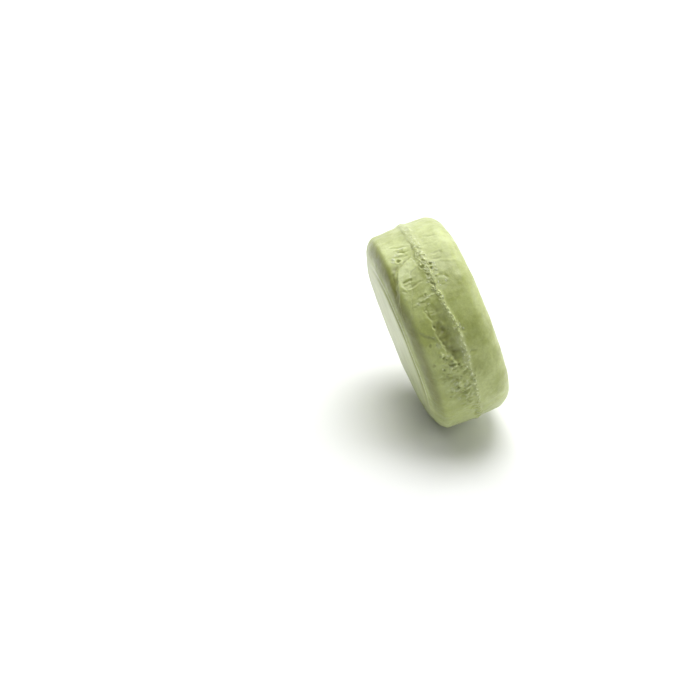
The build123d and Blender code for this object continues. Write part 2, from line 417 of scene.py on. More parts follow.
# How the marks with a path of their own are made
pathMarks = {
    # the hollow, its floor and the lap's shadow are pressed in and also darkened with painted shade
    "hollow": {"width": 1.9, "lift": -0.65, "ragged": 0.4, "paintedShade": 0.5, "ends": 0.22},
    "hollowFloor": {"width": 1.9, "lift": -0.42, "ragged": 0.3, "paintedShade": 1.0, "ends": 0.2},
    "lapShadow": {"width": 0.85, "lift": -0.46, "ragged": 0.3, "paintedShade": 0.9, "ends": 0.2},
}
lappedMarks = {
    "tornEdge": {"lift": 0.36, "reach": 2.2, "ragged": 0.75, "dry": 0.35, "paintedShade": 0.7},
    "lapEdge": {"lift": 0.26, "reach": 3.0, "ragged": 0.3, "dry": 0.3, "paintedShade": 0.7},
}
# how much of its listed width, lift, dryness with painted highlight, and painted shade each crease gets
creaseShare = {"width": 0.85, "lift": 0.75, "dry": 0.7, "paintedShade": 0.55}

# painted shade on the broad shoulder under the upper face, fading out at each end
paintedShoulderShade = {"height": 23.5, "width": 2.2, "strength": 0.95, "bearings": (-75, 85), "fades": (30, 25)}

# A ring pressed into the upper face, with a low bead outside it: radius, width, how far it stands out. The
# groove is darkened with painted shade and the bead paled with a painted highlight
faceRings = {"groove": (23.8, 0.75, -0.62), "bead": (25.7, 0.7, 0.34)}
# where handling has worn the ring: bearing, reach in degrees, how much is gone
ringWear = [(-84, 32, 0.95), (80, 45, 0.8)]

# Knocks from handling on the side that the camera never sees, so that it is not bare
handling = {
    "seed": 5,
    "bearings": (85, 280),
    "heights": (2.0, 23.5),
    "dents": {"count": 34, "size": (0.25, 0.55), "depth": 0.6},
    "scrapes": {"count": 22, "long": (1.5, 4.5), "turned": 0.6, "width": 0.35, "lift": (-0.22, 0.16)},
}


def makeHandling(look):
    pick = np.random.default_rng(look["seed"])
    dent, scrape = look["dents"], look["scrapes"]
    dents, scrapes = [], []
    for _ in range(dent["count"]):
        bearing = (pick.uniform(*look["bearings"]) + 180) % 360 - 180
        size = pick.uniform(*dent["size"])
        dents.append((bearing, pick.uniform(*look["heights"]), size, dent["depth"] * size))
    for _ in range(scrape["count"]):
        bearing = (pick.uniform(*look["bearings"]) + 180) % 360 - 180
        height, long = pick.uniform(*look["heights"]), pick.uniform(*scrape["long"])
        turned = pick.uniform(-scrape["turned"], scrape["turned"])
        # 57 degrees to a radian is near enough here
        farBearing = bearing + 57 * long * math.sin(turned) / puck["radius"]
        farHeight = min(height + long * math.cos(turned), 24.5)
        lift = pick.choice(scrape["lift"])
        paintedShade, dry = (0.5, 0.0) if lift < 0 else (0.0, 0.4)
        path = [(bearing, height), (farBearing, farHeight)]
        scrapes.append((path, scrape["width"], lift, dry, paintedShade))
    return dents, scrapes


hiddenDents, hiddenScrapes = makeHandling(handling)


def roughened(point, rough):
    # torn soap: overlapping plates with sharp edges, drawn out across the rim, and grit between them; chip
    # tops are paled as dried soap with a painted highlight, and the gaps get painted shade
    drawn = point * (1, 1, 0.5) + 0.5 * grain(point, 1.6, 47)[:, None]
    plate, chip = grain(drawn, 2.0, 42), grain(drawn, 1.0, 43)
    raised = 0.17 * smooth(plate, -0.09, 0.09) + 0.15 * smooth(chip, -0.12, 0.12)
    lift = 2.3 * rough * (raised - 0.14 + 0.07 * grain(drawn, 0.6, 44))
    dry = 0.55 * np.minimum(rough, 1) * smooth(chip + 0.4 * plate, 0.0, 0.5)
    paintedShade = 0.5 * np.minimum(rough, 1) * smooth(-chip, 0.05, 0.45)
    return lift, dry, paintedShade


# The soap is never quite even: size of the swellings, seed, how far they stand on the pressed
# faces, and how much more on the rim
unevenness = [(10.0, 1, 0.10, 0.06), (4.2, 2, 0.018, 0.11), (1.9, 4, 0.003, 0.057), (0.9, 3, 0.001, 0.025)]


# the skin itself rises under the flash, less where the flash has crumbled
ridgeLook = {"share": 0.85, "crumbled": 0.55, "dry": 0.3, "paintedShade": 0.2}


def raiseRidge(skin, point, bearing):
    height, width, broken = flashAt(bearing)
    bite = smooth(grain(point, 1.1, 21) + 0.5 * grain(point, 0.5, 22), -0.35, 0.45)
    kept = 1 - ridgeLook["crumbled"] * broken * (1 - bite)
    ridge = flashProfile(skin["v"] - seamShift(bearing), width)
    skin["lift"] += height * ridgeLook["share"] * ridge * kept
    # the crest is paled, dried soap with a painted highlight; crumbled gaps get painted shade
    skin["dry"] = np.maximum(skin["dry"], ridgeLook["dry"] * ridge**2 * kept)
    skin["paintedShade"] = np.maximum(skin["paintedShade"], ridgeLook["paintedShade"] * broken * (1 - bite) * ridge)


def markRim(skin):
    # the marks with a place of their own
    for name, look in pathMarks.items():
        stroke(skin, rimMarks[name], **look)
    for name, look in lappedMarks.items():
        lap(skin, rimMarks[name], **look)
    share = creaseShare
    for path, wide, lift, dry, paintedShade in rimMarks["creases"] + hiddenScrapes:
        width, lift = share["width"] * wide, share["lift"] * lift
        stroke(skin, path, width, lift, dry=share["dry"] * dry, paintedShade=share["paintedShade"] * paintedShade)
    for spot in rimMarks["pits"] + hiddenDents:
        pit(skin, *spot)


def paintShoulderShade(skin, bearing):
    # painted shade: the shoulder is darkened in colour, not pressed in
    look = paintedShoulderShade
    shoulder = np.exp(-(((skin["v"] - arcOf(look["height"])) / look["width"]) ** 4))
    shoulder *= between(bearing, *look["bearings"], *look["fades"])
    skin["paintedShade"] = np.maximum(skin["paintedShade"], look["strength"] * shoulder)


def tearPatches(skin, point):
    # places where the soap is torn and flakes
    rough = np.zeros(len(point))
    for spotBearing, spotHeight, spread, amount in rimMarks["tornPatches"]:
        du = skin["u"] - math.radians(spotBearing) * puck["radius"]
        dv = skin["v"] - arcOf(spotHeight)
        rough = np.maximum(rough, amount * np.exp(-((np.hypot(du, dv) / spread) ** 3)))
    rough *= smooth(grain(point, 2.6, 41), -0.7, 0.1)
    torn = rough > 0.01
    lift, dry, paintedShade = roughened(point[torn], rough[torn])
    skin["lift"][torn] += lift
    mark(skin, torn, "dry", dry)
    mark(skin, torn, "paintedShade", paintedShade)


def dragLines(skin, point, bearing):
    # fine lines dragged round the upper edge
    look, arc = rimMarks["streakedEdge"], skin["v"]
    lines = np.sin(2 * math.pi * (arc + 0.25 * grain(point, 2.5, 51)) / look["spacing"])
    shown = between(bearing, *look["bearings"], *look["fades"])
    shown *= between(arc, *(arcOf(height) for height in look["heights"]), 1.5, 1.5)
    skin["lift"] += look["lift"] * shown * lines * smooth(grain(point, 1.8, 52), -0.4, 0.5)
    skin["dry"] = np.maximum(skin["dry"], 0.3 * shown * np.maximum(lines, 0))


def pressRings(skin, point, bearing, reach):
    # the ring that the die pressed into the upper face, its groove darkened with painted shade and its bead
    # paled with a painted highlight, and the face inside it rubbed smooth
    upper = smooth(point[:, 2], 18.0, 21.0)
    worn = 1
    for place, run, gone in ringWear:
        worn = worn - gone * np.exp(-(((bearing - place) / run) ** 2))
    for radius, wide, stands in faceRings.values():
        ring = worn * upper * np.exp(-(((reach - radius) / wide) ** 2))
        skin["lift"] += stands * ring
        skin["paintedShade" if stands < 0 else "dry"] += (1 if stands < 0 else 0.7) * ring
    skin["polish"] = upper * smooth(-reach, -27.4, -26.4)


def reliefAt(bearing, arc):
    # how far the soap stands off the plain outline, where it is pale with dried soap and painted highlights,
    # and where it is darkened with painted shade
    point, _ = plainPoint(bearing, arc)
    reach = np.hypot(point[:, 0], point[:, 1])
    skin = {
        "u": np.radians(bearing) * puck["radius"],
        "v": arc,
        "warpU": grain(point, 1.7, 11) + 0.5 * grain(point, 0.7, 12),
        "warpV": grain(point, 1.7, 13) + 0.5 * grain(point, 0.7, 14),
        "fade": grain(point, 1.6, 15),
    }
    for key in ("lift", "dry", "paintedShade"):
        skin[key] = np.zeros(len(arc))
    onRim = smooth(reach, 24.0, 28.0)
    for size, seed, onFace, more in unevenness:
        skin["lift"] += (onFace + more * onRim) * grain(point, size, seed)
    raiseRidge(skin, point, bearing)
    markRim(skin)
    paintShoulderShade(skin, bearing)
    tearPatches(skin, point)
    dragLines(skin, point, bearing)
    pressRings(skin, point, bearing, reach)
    return skin


def skinPoint(bearing, arc, lift=0.0):
    # points on the finished skin, raised by lift
    point, normal = plainPoint(bearing, arc)
    skin = reliefAt(bearing, arc)
    return point + normal * (skin["lift"] + lift)[:, None], normal, skin


# what the soap's shader reads off each mesh
skinMarks = ("dry", "paintedShade", "polish")


def keepMesh(name, points, faces, skin=None):
    mesh = bpy.data.meshes.new(name)
    mesh.from_pydata((points * mm).tolist(), [], faces)
    mesh.validate()
    piece = bpy.data.objects.new(name, mesh)
    bpy.context.scene.collection.objects.link(piece)
    made = bmesh.new()
    made.from_mesh(mesh)
    bmesh.ops.recalc_face_normals(made, faces=made.faces)
    made.to_mesh(mesh)
    made.free()
    if skin:
        for key in skinMarks:
            layer = mesh.attributes.new(key, "FLOAT", "POINT")
            layer.data.foreach_set("value", np.clip(skin[key], 0, 1).astype(np.float32))
    mesh.shade_smooth()
    return piece


def stitchRings(counts):
    # faces between rings whose point count stays or halves, closed by a fan at each end
    starts = np.concatenate([[0], np.cumsum(counts)])
    faces = []
    for k in range(len(counts) - 1):
        a, b, n, m = starts[k], starts[k + 1], counts[k], counts[k + 1]
        if n == m:
            faces += [(a + j, a + (j + 1) % n, b + (j + 1) % n, b + j) for j in range(n)]
        else:
            fine, coarse, few = (a, b, m) if n > m else (b, a, n)
            many = few * 2
            for j in range(few):
                one, two, three = (fine + (2 * j + i) % many for i in range(3))
                here, ahead = coarse + j, coarse + (j + 1) % few
                faces += [(one, two, here), (two, ahead, here), (two, three, ahead)]
    first, last = starts[-1], starts[-1] + 1
    faces += [(first, (j + 1) % counts[0], j) for j in range(counts[0])]
    a, n = starts[-2], counts[-1]
    faces += [(last, a + j, a + (j + 1) % n) for j in range(n)]
    return faces


# How a half is meshed: rings of points, thinning out towards the middle of each face
halfMesh = {
    "ringCount": 832,  # points round the rim
    "rimStep": 0.235,
    "faceStep": (0.25, 0.5, 0.02),  # first, last, and how fast it grows
    "closest": 0.22,  # a ring whose points would be closer than this has half as many
    "innermost": 0.8,
    "seamFade": 6.0,  # how far over the rim the rings still follow the parting line
    # on the hidden parting face: radius, and what part of the rim's count
    "hiddenRings": [
        (3.0, 64), (7.0, 32), (12.0, 16), (18.0, 8), (23.5, 4), (27.5, 2), (30.0, 1), (31.2, 1),
    ],
}


def ringBearings(count):
    return np.arange(count) * 360 / count - 180


def faceRingPlan(faceEdge):
    # radius and point count of each ring from a face's edge to its middle
    first, last, growth = halfMesh["faceStep"]
    radius, count = faceEdge, halfMesh["ringCount"]
    fewest = count // halfMesh["hiddenRings"][0][1]
    plan = []
    while radius > halfMesh["innermost"]:
        radius -= min(last, first + growth * (faceEdge - radius))
        if count > fewest and 2 * math.pi * radius / count < halfMesh["closest"]:
            count //= 2
        plan.append((radius, count))
    return plan


def halfPuck(name, side):
    # one pressed half: hidden parting face first, then the rim, then the outer face
    full = halfMesh["ringCount"]
    hidden, hiddenCounts = [], []
    for radius, part in halfMesh["hiddenRings"]:
        at = ringBearings(full // part)
        height = puck["parting"] + seamShift(at) * (radius / puck["radius"]) ** 6
        turn = np.radians(at)
        hidden.append(np.stack([radius * np.sin(turn), -radius * np.cos(turn), height], 1))
        hiddenCounts.append(len(at))

    faceEdge = outline["faceHigh"] if side > 0 else outline["faceLow"]
    rimLength = abs(outline["arc"][-1 if side > 0 else 0]) - faceEdge
    bearings, arcs = [], []
    for arc in np.linspace(0, rimLength, int(rimLength / halfMesh["rimStep"])):
        at = ringBearings(full)
        bearings.append(at)
        arcs.append(side * arc + seamShift(at) * np.clip(1 - arc / halfMesh["seamFade"], 0, 1))
    for radius, count in faceRingPlan(faceEdge):
        bearings.append(ringBearings(count))
        arcs.append(np.full(count, side * (rimLength + faceEdge - radius)))
    outer, _, skin = skinPoint(np.concatenate(bearings), np.concatenate(arcs))

    middle = (0, 0, puck["parting"])
    pole = (0, 0, puck["thickness"] if side > 0 else 0)
    points = np.concatenate(hidden + [outer, [middle, pole]])
    quiet = np.zeros(sum(hiddenCounts))
    marks = {key: np.concatenate([quiet, skin[key], (0, skin[key][-1])]) for key in skinMarks}
    counts = hiddenCounts + [len(ring) for ring in bearings]
    return keepMesh(name, points, stitchRings(counts), marks)


upperHalf = halfPuck("pressedUpperHalf", 1)
lowerHalf = halfPuck("pressedLowerHalf", -1)
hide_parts("upper_half")
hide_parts("lower_half")
print("pressed halves made", len(upperHalf.data.polygons), len(lowerHalf.data.polygons))


def ball(divisions=3):
    made = bmesh.new()
    bmesh.ops.create_icosphere(made, subdivisions=divisions, radius=1)
    points = np.array([v.co[:] for v in made.verts])
    faces = np.array([[v.index for v in f.verts] for f in made.faces])
    made.free()
    return points, faces


def lumpCloud(bearing, arc, lift, sizes, turn, tilt, seed):
    # rough lumps seated on the skin: sizes are along, across and out of the rim
    shape, triangles = ball()
    seat, normal, _ = skinPoint(bearing, arc, lift)
    angle = np.radians(bearing)
    along = np.stack([np.cos(angle), np.sin(angle), 0 * angle], 1)
    across = np.cross(normal, along)
    x = along * np.cos(turn)[:, None] + across * np.sin(turn)[:, None]
    y = np.cross(normal, x)
    leant = y * np.cos(tilt)[:, None] + normal * np.sin(tilt)[:, None]
    out = np.cross(x, leant)
    count, each = len(bearing), len(shape)
    own = np.repeat(np.arange(count), each)
    local = np.tile(shape, (count, 1))
    apart = local + own[:, None] * 3.7  # so that no two lumps are alike
    rough = 1 + 0.30 * grain(apart, 0.9, seed)
    rough += 0.16 * grain(apart, 0.4, seed + 1)
    local = local * rough[:, None] * sizes[own]
    points = seat[own] + local[:, :1] * x[own] + local[:, 1:2] * leant[own] + local[:, 2:] * out[own]
    faces = (triangles[None] + (np.arange(count) * each)[:, None, None]).reshape(-1, 3)
    return points, faces.tolist()


def closedSheet(name, top, under, rows, columns, skin):
    # a thin closed piece between two grids of points
    count = rows * columns
    index = np.arange(count).reshape(rows, columns)
    quads = np.stack([index[:-1, :-1], index[:-1, 1:], index[1:, 1:], index[1:, :-1]], -1).reshape(-1, 4)
    rim = np.concatenate([index[0], index[1:, -1], index[-1, -2::-1], index[-2:0:-1, 0]])
    following = np.roll(rim, -1)
    sides = np.stack([rim, rim + count, following + count, following], 1)
    faces = np.concatenate([quads, quads[:, ::-1] + count, sides]).tolist()
    marks = {key: np.concatenate([skin[key], skin[key]]) for key in skinMarks}
    return keepMesh(name, np.concatenate([top, under]), faces, marks)


def gridOver(bearings, arcs, step):
    # bearings and arcs of a grid whose points are about step millimetres apart
    columns = int(math.radians(bearings[1] - bearings[0]) * puck["radius"] / step)
    rows = int((arcs[1] - arcs[0]) / step)
    across, along = np.meshgrid(np.linspace(*bearings, columns), np.linspace(*arcs, rows))
    return across.ravel(), along.ravel(), rows, columns


# Each stretch of flash is a crust of squeezed-out soap: how high its lumps stand, how big they
# are, and how rugged it is where that doesn't follow from how broken it is
flashStretches = {
    "flattened_flash": {
        "name": "squashedFlashBand", "bearings": (16.5, 83), "crust": 0.26, "lump": 1.7,
        "step": 0.13, "seed": 61,
    },
    "thin_flash": {
        "name": "thinFlashRidge", "bearings": (-11, 20), "crust": 1.0, "lump": 1.5,
        "step": 0.12, "seed": 64, "rugged": 0.8,
    },
    "smooth_flash": {
        "name": "roundedFlashRidge", "bearings": (-33, -8), "crust": 0.55, "lump": 1.3,
        "step": 0.12, "seed": 67,
    },
    "crumbled_flash": {
        "name": "crumbledFlash", "bearings": (-87, -31), "crust": 0.45, "lump": 1.2,
        "step": 0.13, "seed": 70,
    },
    "rear_flash": {
        "name": "rearFlashRidge", "bearings": (80, 277), "crust": 0.28, "lump": 1.2,
        "step": 0.19, "seed": 73,
    },
}
# how wide each sheet of flash is, and how its edges are tucked into the soap behind it
flashTuck = {"reach": 2.7, "sunk": 0.4, "under": 0.8}


def flashStretch(look):
    first, last = look["bearings"]
    reach = flashTuck["reach"]
    bearing, off, rows, columns = gridOver((first, last), (-reach, reach), look["step"])
    wrapped = (bearing + 180) % 360 - 180
    arc = seamShift(wrapped) + off
    plain, normal = plainPoint(wrapped, arc)
    skin = reliefAt(wrapped, arc)
    height, width, broken = flashAt(wrapped)
    ends = between(bearing, first, last, 3, 3)
    lump = 0.62 * lumps(plain, look["lump"], look["seed"])
    lump += 0.38 * lumps(plain, 0.45 * look["lump"], look["seed"] + 1)
    gap = smooth(grain(plain, 1.5, look["seed"] + 2), -0.3, 0.2)
    shown = flashProfile(off, 1.1 * width) * ends * (1 - 0.7 * broken * (1 - gap))
    shown *= 1 - 0.8 * skin["paintedShade"]
    rugged = look.get("rugged", 0.25 + 0.75 * smooth(broken, 0.1, 0.8))
    lift = look["crust"] * rugged * (lump - 0.2) * shown
    lift = lift - flashTuck["sunk"] * (1 - smooth(shown, 0.12, 0.55))
    # lump tops are paled, dried soap with a painted highlight; the hollows between lumps get painted shade
    crest = smooth(lump, 0.45, 0.9) * smooth(shown, 0.3, 0.8)
    skin["dry"] = np.maximum(skin["dry"], 0.6 * crest)
    skin["paintedShade"] = np.maximum(skin["paintedShade"], 0.15 * rugged * smooth(-lump, -0.3, -0.05))
    top = plain + normal * (skin["lift"] + lift)[:, None]
    under = plain + normal * (skin["lift"] - flashTuck["under"])[:, None]
    return closedSheet(look["name"], top, under, rows, columns, skin)


flashPieces = []
for node, look in flashStretches.items():
    piece = flashStretch(look)
    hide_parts(node)
    flashPieces.append(piece)
    print("flash made", look["name"], len(piece.data.polygons))

lappedTongue = {
    "thickness": 0.3,
    "sunk": 0.4,
    "under": 0.7,
    "step": 0.17,
    "bearings": (-2, 45),
    "heights": (12.8, 24.9),
    "thinning": 2.6,  # how quickly it thins away from its edge
}


def makeLappedTongue(look):
    # a skin of soap folded over the upper wall: thick along the lapped edge, thinning into the wall
    arcs = [arcOf(height) for height in look["heights"]]
    bearing, arc, rows, columns = gridOver(look["bearings"], arcs, look["step"])
    plain, normal = plainPoint(bearing, arc)
    skin = reliefAt(bearing, arc)
    near, distance, side, share = nearPath(skin, rimMarks["lapEdge"], 9.0, 0.3)
    signed = np.full(len(arc), -9.0)
    signed[near] = distance * side
    ends = np.zeros(len(arc))
    ends[near] = taper(share, 0.12)
    thick = look["thickness"] * ends * np.exp(-np.maximum(signed, 0) / look["thinning"])
    shown = smooth(signed, -0.30, 0.06) * smooth(-signed, -5.2, -3.4) * smooth(ends, 0.0, 0.3)
    lift = thick * smooth(signed, -0.05, 0.3) - look["sunk"] * (1 - shown)
    top = plain + normal * (skin["lift"] + lift)[:, None]
    under = plain + normal * (skin["lift"] - look["under"])[:, None]
    return closedSheet("lappedTongue", top, under, rows, columns, skin)


tongue = makeLappedTongue(lappedTongue)
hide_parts("lapped_skin")

# Loose bits. Places are bearing, height, how far they scatter in millimetres, how many.
scatter = {
    "soapCrumbs": {
        "places": [
            (-3.6, 10.7, 0.25, 3), (-5.7, 10.1, 0.25, 4), (-7.6, 9.9, 0.25, 4), (-7.9, 9.0, 0.2, 3),
            (33.0, 12.0, 0.5, 3), (31.0, 9.6, 0.4, 2), (28.1, 10.1, 0.4, 2), (25.2, 11.5, 0.6, 2),
            (22.3, 8.4, 0.2, 1), (21.6, 13.2, 0.4, 2), (18.7, 10.6, 0.5, 3), (20.5, 9.0, 0.9, 3),
            (10.6, 11.3, 0.2, 3), (43.6, 19.5, 0.35, 4), (42.0, 20.2, 0.3, 2), (-25.5, 18.9, 0.2, 2),
            (-41.1, 19.5, 0.2, 1), (-48.8, 15.0, 0.3, 2), (120, 12.0, 3.0, 8), (-150, 11.4, 3.0, 8),
        ],
        "size": (0.16, 0.34), "flat": 0.6, "tilt": (-0.4, 0.4), "lift": -0.09, "dry": 0.2, "seed": 21,
    },
    "liftedScales": {
        "places": [
            (-42.0, 16.0, 1.4, 4), (-49.5, 15.0, 1.4, 4), (-38, 14.0, 1.4, 3), (-33, 17.4, 1.4, 3),
            (-56.0, 13.6, 1.4, 3), (-10, 17.6, 0.9, 2), (-23.5, 15.6, 1.0, 4), (30, 11.6, 1.3, 5),
            (46.0, 17.2, 1.3, 3), (12.0, 16.0, 1.0, 4),
        ],
        "size": (0.28, 0.6), "flat": 0.15, "tilt": (-0.22, 0.22), "lift": -0.02, "dry": 0.15, "seed": 23,
    },
}


def scatterBits(name):
    look = scatter[name]
    pick = np.random.default_rng(look["seed"])
    bearing, arc = [], []
    for spotBearing, spotHeight, spread, count in look["places"]:
        bearing.append(spotBearing + np.degrees(pick.normal(size=count) * spread / puck["radius"]))
        arc.append(arcOf(spotHeight) + pick.normal(size=count) * spread)
    bearing, arc = np.concatenate(bearing), np.concatenate(arc)
    count = len(arc)
    grown = pick.uniform(*look["size"], count)
    sizes = np.stack([grown * pick.uniform(0.9, 1.5, count), grown, grown * look["flat"]], 1)
    turn, tilt = pick.uniform(-math.pi, math.pi, count), pick.uniform(*look["tilt"], count)
    points, faces = lumpCloud(bearing, arc, look["lift"], sizes, turn, tilt, look["seed"])
    quiet = np.zeros(len(points))
    marks = {"dry": look["dry"] + 0.3 * grain(points, 0.6, look["seed"]), "paintedShade": quiet, "polish": quiet}
    return keepMesh(name, points, faces, marks)


crumbs, scales = scatterBits("soapCrumbs"), scatterBits("liftedScales")
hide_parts("soap_crumbs")
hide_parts("dry_scales")
print("tongue, crumbs and scales made")


def nodeIn(tree, kind, at, **values):
    # adds a node, sets its properties, and fills its inputs by name
    node = tree.nodes.new(kind)
    node.location = at
    for key, value in values.items():
        if hasattr(node, key):
            setattr(node, key, value)
        else:
            node.inputs[key.replace("_", " ")].default_value = value
    return node


def wire(tree, pairs):
    for start, end in pairs:
        tree.links.new(start, end)


def newGroup(name, inputs, outputs):
    # an empty shader group with named sockets
    group = bpy.data.node_groups.new(name, "ShaderNodeTree")
    for socket, kind, value in inputs:
        made = group.interface.new_socket(socket, in_out="INPUT", socket_type="NodeSocket" + kind)
        made.default_value = value
    for socket, kind in outputs:
        group.interface.new_socket(socket, in_out="OUTPUT", socket_type="NodeSocket" + kind)
    start = nodeIn(group, "NodeGroupInput", (-900, 0))
    end = nodeIn(group, "NodeGroupOutput", (900, 0))
    return group, start, end


def mixColor(tree, at, blend, factor, first, second):
    # each of factor, first and second is a value or a socket
    node = nodeIn(tree, "ShaderNodeMix", at, data_type="RGBA", blend_type=blend)
    for index, value in ((0, factor), (6, first), (7, second)):
        if isinstance(value, bpy.types.NodeSocket):
            tree.links.new(value, node.inputs[index])
        else:
            node.inputs[index].default_value = value
    return node.outputs[2]


def combine(tree, at, operation, first, second):
    # one sum of two values or sockets
    node = nodeIn(tree, "ShaderNodeMath", at, operation=operation)
    for index, value in enumerate((first, second)):
        if isinstance(value, bpy.types.NodeSocket):
            tree.links.new(value, node.inputs[index])
        else:
            node.inputs[index].default_value = value
    return node.outputs[0]


def spread(tree, at, value, low, high, outLow=0.0, outHigh=1.0):
    # a value stretched smoothly from one span to another
    node = nodeIn(tree, "ShaderNodeMapRange", at, interpolation_type="SMOOTHSTEP")
    tree.links.new(value, node.inputs["Value"])
    for key, number in (("From Min", low), ("From Max", high), ("To Min", outLow), ("To Max", outHigh)):
        node.inputs[key].default_value = number
    return node.outputs["Result"]


def noiseOf(tree, at, start, scaleSocket, detail, roughness):
    # noise fixed to the piece, whose scale is one of the group's sockets
    node = nodeIn(tree, "ShaderNodeTexNoise", at, Detail=detail, Roughness=roughness)
    place = nodeIn(tree, "ShaderNodeTexCoord", (at[0] - 200, at[1]))
    tree.links.new(place.outputs["Object"], node.inputs["Vector"])
    tree.links.new(start.outputs[scaleSocket], node.inputs["Scale"])
    return node.outputs["Fac"]


def makeSoapCloud():
    # milky and olive clouding inside pressed soap, with a fine speckle over it
    white = (1, 1, 1, 1)
    group, start, end = newGroup(
        "soapCloud",
        [("Color", "Color", white), ("Milky", "Color", white), ("Olive", "Color", white),
         ("Cloud Scale", "Float", 150.0), ("Speckle Scale", "Float", 1400.0), ("Amount", "Float", 0.5)],
        [("Color", "Color")],
    )
    noise = noiseOf(group, (-500, 200), start, "Cloud Scale", 4, 0.6)
    cloud = spread(group, (-300, 200), noise, 0.36, 0.64)
    clouded = mixColor(group, (0, 100), "MIX", cloud, start.outputs["Olive"], start.outputs["Milky"])
    body = mixColor(group, (200, 100), "MIX", start.outputs["Amount"], start.outputs["Color"], clouded)
    speck = noiseOf(group, (-500, -200), start, "Speckle Scale", 2, 0.7)
    shade = spread(group, (-300, -200), speck, 0.3, 0.7, 0.93, 1.06)
    gray = nodeIn(group, "ShaderNodeCombineColor", (0, -200))
    for index in range(3):
        group.links.new(shade, gray.inputs[index])
    group.links.new(mixColor(group, (400, 0), "MULTIPLY", 1.0, body, gray.outputs[0]), end.inputs[0])
    return group


def makeDryBloom():
    # pale dried soap on raised and torn places, with painted highlights on crests, folds and the bead;
    # painted shade, a deeper green, down in creases, hollows, pits and the groove
    white = (1, 1, 1, 1)
    group, start, end = newGroup(
        "dryBloom",
        [("Color", "Color", white), ("Bloom", "Color", white), ("Shade", "Color", white),
         ("Dry", "Float", 0.0), ("Painted Shade", "Float", 0.0), ("Grit Scale", "Float", 1800.0)],
        [("Color", "Color"), ("Mask", "Float")],
    )
    grit = noiseOf(group, (-500, 200), start, "Grit Scale", 3, 0.75)
    patchy = spread(group, (-350, 200), grit, 0.3, 0.6, 0.35, 1.15)
    broken = combine(group, (-200, 200), "MULTIPLY", patchy, start.outputs["Dry"])
    mask = spread(group, (0, 200), broken, 0.05, 0.95)
    color, shade = start.outputs["Color"], start.outputs["Shade"]
    shaded = mixColor(group, (0, -100), "MULTIPLY", start.outputs["Painted Shade"], color, shade)
    group.links.new(mixColor(group, (300, 0), "MIX", mask, shaded, start.outputs["Bloom"]), end.inputs[0])
    group.links.new(mask, end.inputs[1])
    return group


def makeWaxySkin():
    # hand-smoothed waxy surface: shallow dimples, fine grain, grit where it is dry
    group, start, end = newGroup(
        "waxySkin",
        [("Dimple Scale", "Float", 500.0), ("Grain Scale", "Float", 2600.0), ("Dry", "Float", 0.0),
         ("Polish", "Float", 0.0), ("Polished", "Float", 0.34), ("Smooth", "Float", 0.4),
         ("Rough", "Float", 0.8)],
        [("Height", "Float"), ("Roughness", "Float")],
    )
    dimple = noiseOf(group, (-500, 300), start, "Dimple Scale", 3, 0.55)
    fine = noiseOf(group, (-500, 0), start, "Grain Scale", 3, 0.65)
    coarser = combine(group, (-250, -100), "ADD", 0.35, start.outputs["Dry"])
    grit = combine(group, (-100, 0), "MULTIPLY", fine, coarser)
    still = spread(group, (400, 400), start.outputs["Polish"], 0.0, 1.0, 1.0, 0.05)
    uneven = combine(group, (200, 200), "ADD", dimple, grit)
    group.links.new(combine(group, (600, 200), "MULTIPLY", uneven, still), end.inputs[0])
    spreadRough = combine(group, (0, -250), "SUBTRACT", start.outputs["Rough"], start.outputs["Smooth"])
    mottled = spread(group, (-250, -350), dimple, 0.35, 0.7, 0.0, 0.35)
    share = combine(group, (0, -400), "ADD", mottled, start.outputs["Dry"])
    lifted = combine(group, (200, -300), "MULTIPLY", spreadRough, share)
    plain = combine(group, (400, -200), "ADD", lifted, start.outputs["Smooth"])
    polished = combine(group, (400, -400), "MULTIPLY", start.outputs["Polish"], 0.9)
    even = nodeIn(group, "ShaderNodeMix", (600, -200), data_type="FLOAT")
    group.links.new(polished, even.inputs[0])
    group.links.new(plain, even.inputs[2])
    group.links.new(start.outputs["Polished"], even.inputs[3])
    group.links.new(even.outputs[0], end.inputs[1])
    return group


soapCloud, dryBloom, waxySkin = makeSoapCloud(), makeDryBloom(), makeWaxySkin()

# What most finishes share. Bloom is the pale colour of dried soap, also used for painted highlights; shade is
# the colour of the painted shade in creases, hollows, pits and on the shoulder. Smooth and rough are
# roughness where the soap is rubbed and where it is dry, and bump is in metres.
plainFinish = {
    "bloomAndHighlight": (0.66, 0.71, 0.44, 1), "shade": (0.50, 0.48, 0.31, 1),
    "rough": 0.80, "bump": 0.00010, "sheen": 0.1,
}
soapFinishes = {
    "pressedSoap": {
        **plainFinish, "clouds": 0.75, "smooth": 0.36,
        "color": (0.40, 0.455, 0.150, 1), "milky": (0.47, 0.53, 0.20, 1), "olive": (0.34, 0.385, 0.105, 1),
    },
    "flashSoap": {
        **plainFinish, "clouds": 0.6, "smooth": 0.42, "bump": 0.00012,
        "color": (0.42, 0.475, 0.170, 1), "milky": (0.50, 0.56, 0.24, 1), "olive": (0.36, 0.405, 0.125, 1),
    },
    "skinSoap": {
        **plainFinish, "clouds": 0.5, "smooth": 0.38, "bloomAndHighlight": (0.68, 0.73, 0.47, 1),
        "color": (0.43, 0.49, 0.175, 1), "milky": (0.50, 0.56, 0.25, 1), "olive": (0.37, 0.42, 0.13, 1),
    },
    "crumbSoap": {
        **plainFinish, "clouds": 0.6, "smooth": 0.50, "rough": 0.85, "bump": 0.00012,
        "color": (0.50, 0.56, 0.26, 1), "milky": (0.58, 0.64, 0.34, 1), "olive": (0.42, 0.47, 0.18, 1),
        "bloomAndHighlight": (0.72, 0.76, 0.52, 1), "shade": (0.6, 0.6, 0.5, 1),
    },
}

